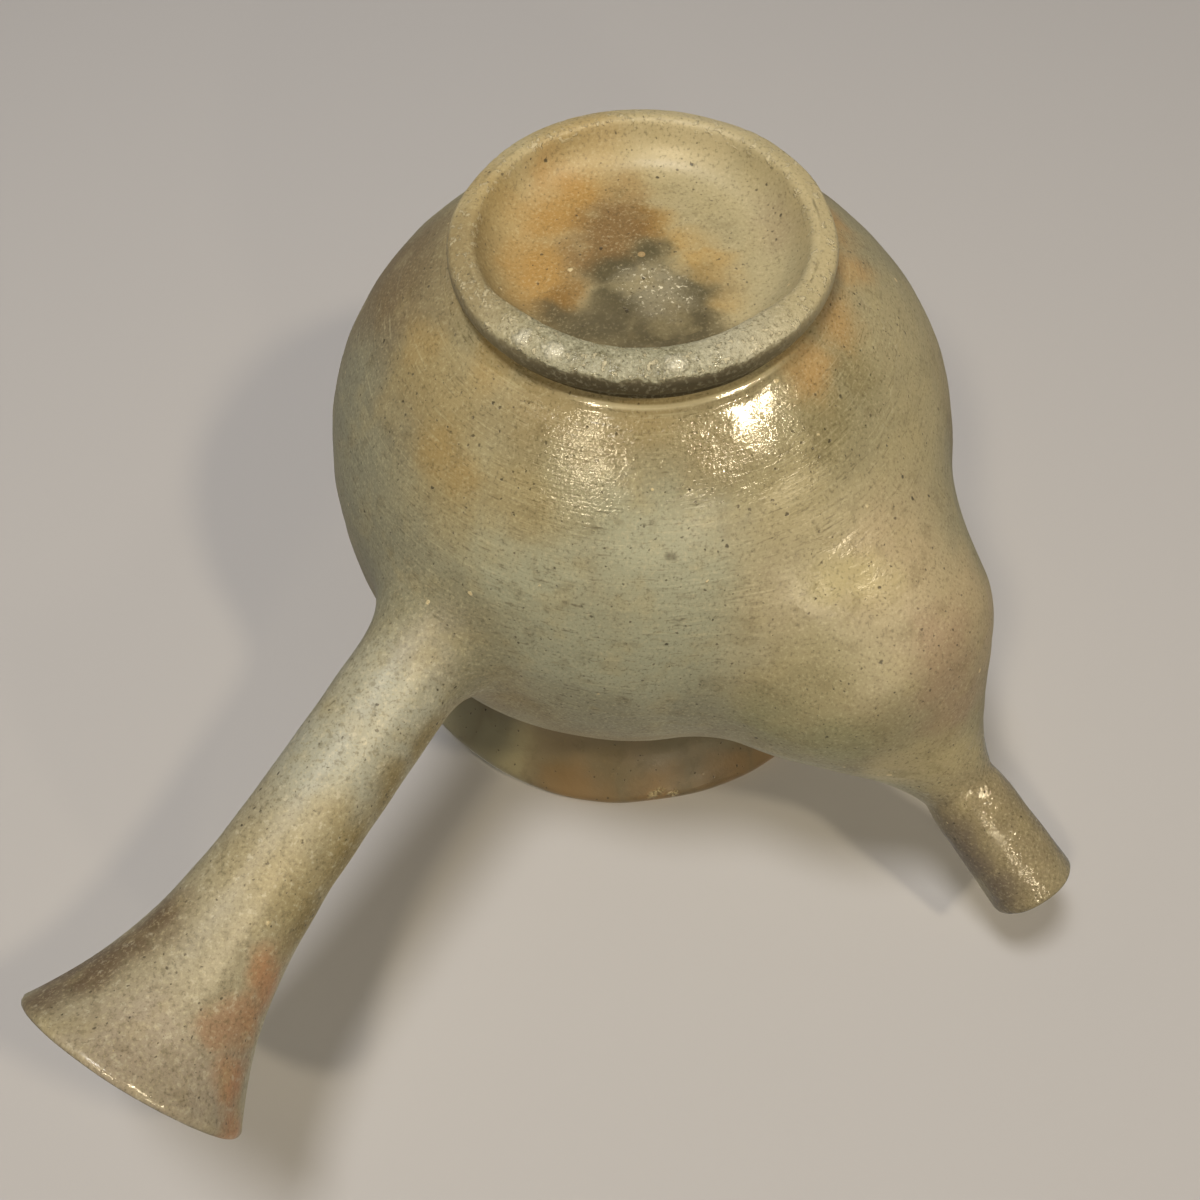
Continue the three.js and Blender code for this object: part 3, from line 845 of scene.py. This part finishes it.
def flash_dish(clay):
    """Flame marks in the foot's dish: an orange ring round a dark patch with grey ash."""
    clay.flash("#B2A580", 27, (0, 0, 4.5), strength=1)
    clay.flash("#AE9868", 7, (8, 20, 3), (-8, 20, 3), (13, 15, 3), (16, 10, 3))
    clay.flash("#AF8A4C", 5.8, (11, 8, 5), (4, 14, 5), (15.5, 4, 5), (-1, 16, 5), strength=0.9)
    clay.flash("#A48A5C", 5, (-7, 11, 5))
    clay.flash("#B69555", 4, (-7.5, -2.5, 5), (-6, -7.5, 5), (-3.5, -12.8, 5), (-6.5, 3, 5), strength=0.95)
    clay.flash("#7F6239", 5.8, (0, 8, 5), (-3.5, 5, 5), (3, 4.5, 5), strength=0.9)
    clay.flash("#AEA585", 8, (-14, -4, 5), (-17, 3, 4), (-9, -14, 4))
    clay.flash("#544E36", 4.6, (-1, -1, 5), (4.4, 0, 5), (0, -8.5, 5), (7.5, -4, 5), strength=0.95)
    clay.flash("#534C35", 5.4, (13, -5, 4.7), (9, -10.5, 4.5), (4, -14.2, 4.4), strength=0.95)
    front_edge = (18.2, -3.5, 3.7), (15, -10.5, 3.8), (10, -15.5, 3.8), (16.5, 0.5, 4)
    clay.flash("#534C35", 4.8, *front_edge, strength=0.9)
    clay.flash("#938D78", 4.4, (2.5, -5, 5), (4, -6.5, 5), strength=0.9)
    clay.flash("#87662F", 3.4, (11.5, 2.5, 5), strength=0.85)
    clay.flash("#C1B592", 6, (-22, 7, 3), (-19.5, 11, 3))
    clay.flash("#A19478", 4.5, (-16, -12, 4), (-18.5, -8, 4), strength=0.7)


def flash_spout(clay):
    """Flame marks on the spout: tan bulb, rosy side, olive underneath and a dark tip. A pale patch on the
    bulb's shoulder is a painted highlight.
    """
    clay.flash("#ADA182", 15, (8, -52, 27), (1, -50, 26), (14, -51, 30), strength=0.9)
    clay.flash("#B5A483", 9, (1, -48, 24), (-5, -57, 31), (-8, -60, 40))
    clay.flash("#9D9471", 8, (20, -50, 37), (17, -57, 42), (16, -50, 33), strength=0.85)
    clay.flash("#A48F74", 7, (3.5, -62, 36), (3, -59, 31), (3, -64, 42), strength=0.85)
    clay.flash("#999673", 6, (19, -56, 43), (22, -48, 42))
    clay.flash("#BDB088", 7, (11, -64, 51), (6, -68, 52))
    clay.flash("#93876B", 10, (4, -76, 58), (3, -82, 64), strength=0.85)
    # Painted highlight: a pale patch on the bulb's shoulder, where a soft highlight shows.
    clay.flash("#C9BD8E", 3.8, (8.5, -44, 23.5), (6, -47, 24.5), strength=0.6)
    tube_side = (8.5, -73, 66), (8.5, -77, 68), (8, -84, 69), (1.5, -88, 73.5), (-4, -84, 72)
    clay.flash("#74685A", 5, *tube_side, strength=0.9)


def flash_handle(clay):
    """Flame marks on the handle: pale grey, with a brown edge on one side and orange on the other."""
    clay.flash("#A79F87", 22, (75, -16, 42), (100, -22, 42))
    clay.flash("#A9AA9C", 11, (60, -13, 37), (70, -13, 37), strength=0.9)
    clay.flash("#958F7B", 6, (50, -10.7, 35))
    clay.flash("#8F8B72", 5, (46, -13.4, 38), (47, -14, 42))
    clay.flash("#A2956F", 8, (77, -22, 44), (84, -21, 42))
    shaded_side = (57, -16.6, 45), (66, -18.8, 46), (75, -21.5, 46.5), (84, -25, 47)
    clay.flash("#8B7A4A", 5, *shaded_side)
    clay.flash("#A59987", 9, (108, -26, 38), (107, -33, 42), strength=0.9)
    orange_side = (92, -28, 47), (97, -31, 46.5), (103, -33.5, 47.5), (106.5, -38, 50)
    clay.flash("#B7875E", 4.2, *orange_side)
    clay.flash("#A48366", 3, (99.5, -28.6, 43.5))
    clay.flash("#6B5943", 5, (98.5, -12.4, 41), (102, -12.4, 41.2), (106.3, -12.4, 41), strength=0.95)
    clay.flash("#6B5943", 4.4, (110.5, -12.6, 40.5), (113.5, -12.8, 40), (111, -9.7, 43.3), strength=0.95)


def mark_turning(clay):
    """Dark drag marks and pale scratches round the bowl, and coarse grain on the handle. Gives
    where the bowl is."""
    on_spout = clay.near(22, (7, -54, 40), (2, -80, 64))
    on_handle = clay.near(20, (62, -10, 43), (84, -16, 44), (106, -22, 48))
    on_bowl = clay.math("SUBTRACT", 1, clay.most(on_spout, on_handle))
    on_bowl = clay.times(on_bowl, clay.ease(clay.out, 22.5, 24))
    dragged = clay.noise(1, 3, 0.6, clay.along_turn(2.6, 0.42))
    clay.blend("#574C32", clay.ease(dragged, 0.42, 0.28, 0, 0.5), on_bowl)
    scratched = clay.noise(1, 2, 0.5, clay.along_turn(8, 0.38))
    clay.blend("#CFC8A4", clay.ease(scratched, 0.6, 0.74, 0, 0.25), on_bowl)
    coarse = clay.noise(1, 3, 0.65)
    clay.blend("#6C6448", on_handle, clay.ease(coarse, 0.46, 0.32, 0, 0.5))
    clay.blend("#D2CCB4", on_handle, clay.ease(coarse, 0.55, 0.7, 0, 0.5))
    return on_bowl


def mark_spot_and_ash(clay):
    """One large iron spot on the front of the bowl, and pale ash on the dish's grey patch."""
    spot = clay.near(0.7, (25.3, -30.5, 17.8), (24.95, -30.9, 17.85), place=clay.place)
    clay.blend("#463C26", spot, 0.85)
    grains = clay.ease(clay.noise(0.6, 3, 0.7), 0.58, 0.66)
    clay.blend("#E2DCC6", clay.near(5.5, (3, -6, 5)), grains)


def paint_ridge_highlight(clay):
    """A painted highlight: a pale line along the glossy ridge beside the foot, in front. Gives where the
    ridge is.
    """
    low = clay.ease(clay.height, 9, 8)
    away = clay.math("ABSOLUTE", clay.math("SUBTRACT", clay.out, RIDGE_RADIUS))
    painted_ridge_highlight = clay.times(clay.ease(away, 0.45, 0.1), low, clay.near(11, (18, -18, 7), (10, -23.5, 7)))
    # Painted highlight: the pale line laid on the ridge in front.
    clay.blend("#E6DCB8", painted_ridge_highlight, 0.75)
    return clay.times(clay.ease(away, 1.4, 0.8), low)


def melt_ash(clay, tube, crease):
    """How glossy the skin is: glass where ash has melted, and satin beside the spout."""
    left = (26, -16, 9.5), (24, -15, 8.5), (17, -21, 8)
    right = (10, -26, 8), (1, -28, 9), (-9, -28, 10)
    melted = clay.near(13, *left, *right)
    dish_patch = clay.near(4.5, (3, -6, 5))
    handle_patch = clay.near(5, (112, -27, 36.5), (110.5, -33, 39))
    satin = clay.times(clay.near(9, (7.6, -45.3, 24)), 0.55)
    gloss = clay.most(melted, tube, dish_patch, handle_patch, satin)
    gloss = clay.times(gloss, clay.ease(clay.noise(6, 4), 0.3, 0.6, 0.75, 1))
    return clay.most(gloss, crease)


def skin_relief(clay, gloss, tube, crease, on_bowl):
    """Height of the skin: fine dimples, soft lumps, marks of turning, and orange peel on the
    spout's tube. It is calmer where melted ash has run together."""
    dimples = clay.times(clay.noise(0.42, 2, 0.6), clay.ease(gloss, 0, 1, 0.03, 0.065))
    lumps = clay.times(clay.noise(2.2, 2), 0.1)
    turning = clay.times(clay.noise(1, 3, 0.6, clay.along_turn(5, 0.5)), 0.07, on_bowl)
    height = clay.math("ADD", dimples, clay.math("ADD", lumps, turning))
    peel = clay.times(clay.noise(0.9, 2), tube, 0.16)
    pool = clay.most(clay.near(3.4, (9, -24.9, 6.6)), crease)
    return clay.times(clay.math("ADD", height, peel), clay.math("MULTIPLY_ADD", pool, -0.7, 1))


def wood_fired(name, *areas):
    """Olive-grey stoneware from a wood kiln: flashed, speckled, and glossy where ash has melted.
    Bowl, spout and handle share it, so that it runs on over their joints."""
    clay = Clay(name, "#9D9678")
    clay.blend("#8F8262", clay.ease(clay.noise(30, 4), 0.44, 0.62))
    for area in areas:
        area(clay)
    clay.blend("#B3A67E", clay.ease(clay.noise(5, 4), 0.52, 0.72, 0, 0.3))
    clay.blend("#6E6242", clay.ease(clay.noise(3.2, 4, place=clay.drifting), 0.46, 0.3, 0, 0.25))
    on_bowl = mark_turning(clay)
    clay.grain()
    mark_spot_and_ash(clay)
    relief = clay.iron_and_grit()
    crease = paint_ridge_highlight(clay)
    tube = clay.near(10, (2, -73, 58), (1.5, -84, 66))
    gloss = melt_ash(clay, tube, crease)
    height = skin_relief(clay, gloss, tube, crease, on_bowl)
    return clay.finish(clay.ease(gloss, 0, 1, 0.47, 0.1), clay.math("ADD", height, relief))


def darken_undercut(clay, height):
    """The undercut in front painted dark, partly as dark clay and partly as painted shade in the undercut,
    with a little ash caught in it.
    """
    under = clay.times(clay.ease(height, 0.9, 1.5), clay.ease(clay.out, 23, 23.8))
    # Partly painted shade: the undercut is darkened in front, on top of the clay's own dark colour.
    clay.blend("#554D37", under, clay.near(27, (17, -17, 2)))
    ashes = clay.times(clay.ease(clay.noise(0.7, 3, 0.7), 0.5, 0.66), under)
    clay.blend("#9C967E", ashes, 0.6)


def lay_crust(clay, crusty):
    """The crust's own colours, laid over the clay: grey, with paler patches and a mixed grain."""
    under = clay.colour
    clay.colour = srgb("#9D9B84")
    clay.blend("#7D7960", clay.ease(clay.noise(3.2, 4, 0.6), 0.5, 0.62, 0, 0.65))
    clay.flash("#B5B19C", 7, (5, -22, 0), (2, -25, 0))
    grain = clay.noise(0.45, 3, 0.7)
    clay.blend("#CFCCB6", clay.ease(grain, 0.54, 0.68, 0, 0.7))
    clay.blend("#55513B", clay.ease(grain, 0.47, 0.34, 0, 0.75))
    crust = clay.colour
    clay.colour = under
    clay.blend(crust, crusty)


def ash_crust(name):
    """Grey crusty ash on the front of the foot, granular and with a few glassy drops whose pale colour is
    partly painted highlight, over pale clay. Its ragged edge ends above an undercut painted dark, partly
    as painted shade."""
    clay = Clay(name, "#BFB28C")
    flash_dish(clay)
    clay.flash("#94845F", 8, (22, 9, 1), (19, 15, 1), strength=0.85)
    clay.grain()
    relief = clay.iron_and_grit()
    ragged = clay.math("MULTIPLY_ADD", clay.noise(1.6, 4, 0.6), 2.4, -1.2)
    height = clay.math("MULTIPLY_ADD", ragged, 0.6, clay.height)
    darken_undercut(clay, height)
    flat = clay.ease(clay.math("MULTIPLY_ADD", ragged, 0.5, clay.out), 19.4, 20)
    edge = clay.times(clay.ease(height, 1.5, 1), flat)
    crusty = clay.times(edge, clay.near(24, (17, -17, 2)))
    lay_crust(clay, crusty)
    crumbs = clay.times(clay.ease(clay.noise(1.2, 3, 0.7), 0.56, 0.64), edge)
    clay.blend("#D6CCAC", crumbs, 0.55)
    warped = clay.warp(1.1, 2, (2.4, 2.4, 0))
    # Glassy drops at three places in front: their pale colour is partly painted highlight for their
    # glints, with gloss and a raised bump of their own.
    glassy_drops_and_glints = clay.near(1.3, (23.8, -3.1, 0), (22.5, -7.4, 0), (13.4, -19.5, 0), place=warped)
    clay.blend("#DAD7C4", glassy_drops_and_glints, 0.8)
    slope = clay.times(clay.ease(clay.out, 21.6, 21), clay.near(10, (-16.6, 13.9, 3)), 0.35)
    beads = clay.times(clay.ease(clay.noise(1.6, 3, 0.6), 0.54, 0.62), crusty)
    roughness = clay.ease(clay.most(slope, beads, glassy_drops_and_glints), 0, 1, 0.5, 0.12)
    lumps = clay.times(clay.noise(0.8, 3, 0.6), clay.ease(crusty, 0, 1, 0.06, 0.3))
    lumps = clay.math("MULTIPLY_ADD", glassy_drops_and_glints, 0.35, lumps)
    lumps = clay.math("MULTIPLY_ADD", crumbs, 0.12, lumps)
    return clay.finish(roughness, clay.math("ADD", lumps, relief))


def flashed_clay(name):
    """Smooth brown clay that the ash missed, orange toward the lip and grey to one side."""
    clay = Clay(name, "#84765B")
    clay.blend("#7E7257", clay.ease(clay.noise(16, 4), 0.42, 0.62))
    joined = clay.math("MULTIPLY_ADD", clay.noise(5, 4), 5, clay.height)
    clay.blend("#8B8264", clay.ease(joined, 77, 72, 0, 0.85))
    clay.flash("#AEA787", 9, (43, -8, 82), (42, 4, 80), strength=0.85)
    clay.flash("#987A50", 6, (18, -41, 84), (9, -43, 84), (36, -23, 84.5), (28, -33, 85), strength=0.7)
    clay.flash("#736C53", 6, (15, -33, 76), (20, -30, 75), strength=0.7)
    clay.blend("#62543A", clay.ease(clay.noise(4, 4, place=clay.drifting), 0.44, 0.28, 0, 0.35))
    clay.blend("#A08C62", clay.ease(clay.noise(0.6, 3, 0.6), 0.56, 0.74, 0, 0.2))
    clay.blend("#AE9F7C", clay.ease(clay.height, 84.7, 85, 0, 0.4))
    warped = clay.warp(0.9, 3, (3.4, 3.4, 3.4), 0.6)
    drip = clay.near(0.75, (28.6, -32.2, 83.2), (27.5, -33.2, 82.2), (26.3, -34.6, 83.3), place=warped)
    clay.blend("#C4B68E", drip, 0.85)
    relief = clay.math("MULTIPLY_ADD", drip, 0.2, clay.iron_and_grit())
    height = clay.math("MULTIPLY_ADD", clay.noise(1.2, 3, 0.6), 0.06, relief)
    return clay.finish(clay.ease(clay.noise(6, 3), 0.3, 0.7, 0.3, 0.5), height)


def bare_clay(name):
    """Matt tan clay inside the pot, where no ash reached."""
    clay = Clay(name, "#A58E66")
    clay.blend("#94794F", clay.ease(clay.noise(14, 4), 0.42, 0.62))
    clay.blend("#C2B08A", clay.ease(clay.noise(0.6, 3, 0.7), 0.54, 0.72, 0, 0.35))
    relief = clay.iron_and_grit()
    return clay.finish(0.66, clay.math("MULTIPLY_ADD", clay.noise(0.8, 3, 0.6), 0.08, relief))


# Studio


LAMP_DISTANCE = 0.8
POT_MIDDLE = Vector((*POT_AXIS * MM, WIDEST_Z * MM))
PAPER = "#BFBFC5"
WHITE = "#FFFAF0"
WARM = "#FFECC6"
FADE_START = 0.28
FADE_END = 0.75
GLOW_BELOW = 0.09
GLOW_ABOVE = 0.3
FROM_HANDLE_SIDE = (0.57, -0.19, -0.80)
FROM_LOW_FRONT = (0.379, -0.827, -0.417)


def paper_shader(tree):
    """Matt paper near the pot, and the same colour unlit far from it."""
    place = add(tree, "TexCoord").outputs["Object"]
    away = add(tree, "VectorMath", {0: place}, operation="LENGTH").outputs["Value"]
    links = {"Value": away, "From Min": FADE_START, "From Max": FADE_END}
    far = add(tree, "MapRange", links, interpolation_type="SMOOTHSTEP").outputs[0]
    near = add(tree, "BsdfDiffuse", {"Color": srgb(PAPER)}).outputs[0]
    beyond = add(tree, "Emission", {"Color": srgb(PAPER)}).outputs[0]
    return add(tree, "MixShader", {0: far, 1: near, 2: beyond}).outputs[0]


def lay_ground(name, z, from_above):
    """A pale ground that only a camera on its own side sees. It keeps the pot's shadows, and far
    from the pot it passes into the background."""
    size = 4.0
    corners = [(-size, -size, z), (size, -size, z), (size, size, z), (-size, size, z)]
    mesh = bpy.data.meshes.new(name)
    mesh.from_pydata(corners, [], [[0, 1, 2, 3] if from_above else [3, 2, 1, 0]])
    ground = put(name, mesh)
    for way in ("diffuse", "glossy", "transmission", "volume_scatter", "shadow"):
        setattr(ground, f"visible_{way}", False)
    material = bpy.data.materials.new(name)
    tree = empty_tree(material)
    clear = add(tree, "BsdfTransparent").outputs[0]
    side = add(tree, "NewGeometry").outputs["Backfacing"]
    if not from_above:
        passed = add(tree, "LightPath").outputs["Transparent Depth"]
        first = add(tree, "Math", {0: passed, 1: 0.5}, operation="LESS_THAN").outputs[0]
        side = add(tree, "Math", {0: side, 1: first}, operation="MAXIMUM").outputs[0]
    mix = add(tree, "MixShader", {0: side, 1: paper_shader(tree), 2: clear})
    add(tree, "OutputMaterial", {"Surface": mix.outputs[0]})
    mesh.materials.append(material)


def hang_lamp(name, way, size, power, colour, sheen=True, fill=True):
    """A soft round lamp that faces the pot from one way, and shows as sheen, as fill or as both."""
    lamp = bpy.data.lights.new(name, "AREA")
    lamp.shape = "DISK"
    lamp.size = size
    lamp.energy = power
    lamp.color = srgb(colour)[:3]
    holder = put(name, lamp)
    way = Vector(way).normalized()
    holder.location = POT_MIDDLE + way * LAMP_DISTANCE
    holder.rotation_mode = "QUATERNION"
    holder.rotation_quaternion = way.to_track_quat("Z", "Y")
    holder.visible_glossy = sheen
    holder.visible_diffuse = fill


def light_room():
    """Soft light from all round, and a pale background for the camera."""
    world = bpy.data.worlds.new("room")
    tree = empty_tree(world)
    way = add(tree, "TexCoord").outputs["Generated"]
    height = add(tree, "SeparateXYZ", {0: way}).outputs[2]
    links = {"Value": height, "From Min": -1, "To Min": GLOW_BELOW, "To Max": GLOW_ABOVE}
    strength = add(tree, "MapRange", links).outputs[0]
    glow = add(tree, "Background", {"Color": srgb("#F2F0EE"), "Strength": strength})
    paper = add(tree, "Background", {"Color": srgb(PAPER), "Strength": 1})
    seen = add(tree, "LightPath").outputs["Is Camera Ray"]
    mix = add(tree, "MixShader", {0: seen, 1: glow.outputs[0], 2: paper.outputs[0]})
    add(tree, "OutputWorld", {"Surface": mix.outputs[0]})
    bpy.context.scene.world = world


skin = wood_fired("olive_clay", flash_bowl, flash_spout, flash_handle, flash_dish)
spout_skin = wood_fired("rosy_clay", flash_bowl, flash_spout)
handle_skin = wood_fired("pale_clay", flash_bowl, flash_handle)
crust = ash_crust("ash_foot")
orange = flashed_clay("flashed_clay")
bare = bare_clay("bare_clay")
throw_pot(skin, bare)
turn_foot(crust)
throw_collar(orange)
fit_ledge(bare)
throw_branch("spout_cone", SPOUT, 200, [spout_skin, bare], "spout")
throw_branch("side_handle", HANDLE, 180, [handle_skin, bare], "handle")
pierce_strainer(bare)
throw_lid(skin)
throw_flange(bare)
throw_knob(orange)

lay_ground("floor", 0.0, from_above=True)
lay_ground("bench", RIM_Z * MM, from_above=False)
hang_lamp("lamp_overhead", (0.145, 0.093, -0.985), 0.22, 3.25, WHITE)
hang_lamp("lamp_handle_side", FROM_HANDLE_SIDE, 0.09, 1.4, WARM)
hang_lamp("lamp_spout_side", (-0.116, -0.603, -0.788), 0.07, 1.55, WARM)
hang_lamp("lamp_handle_sheen", FROM_HANDLE_SIDE, 0.07, 1.6, WARM, fill=False)
hang_lamp("lamp_window", (-0.2, -0.53, -0.86), 0.09, 3.8, WARM, fill=False)
hang_lamp("lamp_low_sheen", FROM_LOW_FRONT, 0.07, 1.3, WARM, fill=False)
hang_lamp("lamp_low", FROM_LOW_FRONT, 0.06, 0.4, WARM)
hang_lamp("lamp_above_back", (-0.58, 0.58, 0.62), 0.3, 4.8, WHITE, sheen=False)
hang_lamp("lamp_above_front", (0.2, -0.25, 0.95), 0.3, 3, WHITE, sheen=False)
hang_lamp("lamp_above_spout", (-0.5, -0.55, 0.67), 0.3, 1.2, WHITE, sheen=False)
light_room()

# Camera: the photograph's place, turn and lens
CAMERA_FROM_POT = Vector((91.73, -90.724, -114.8))
CAMERA_RIGHT = Vector((-0.7209, -0.6928, 0.0188)).normalized()
CAMERA_UP = Vector((-0.5941, 0.6037, -0.5315))
lens = bpy.data.cameras.new("camera")
lens.lens = 38.35
lens.sensor_width = 36
lens.sensor_fit = "HORIZONTAL"
lens.clip_start = 0.01
camera = put("camera", lens)
back = CAMERA_RIGHT.cross(CAMERA_UP).normalized()
turn = Matrix((CAMERA_RIGHT, back.cross(CAMERA_RIGHT), back)).transposed().to_4x4()
camera.matrix_world = Matrix.Translation((Vector((*POT_AXIS, 0)) + CAMERA_FROM_POT) * MM) @ turn
bpy.context.scene.camera = camera
bpy.context.scene.view_settings.view_transform = "Standard"

bpy.context.view_layer.update()
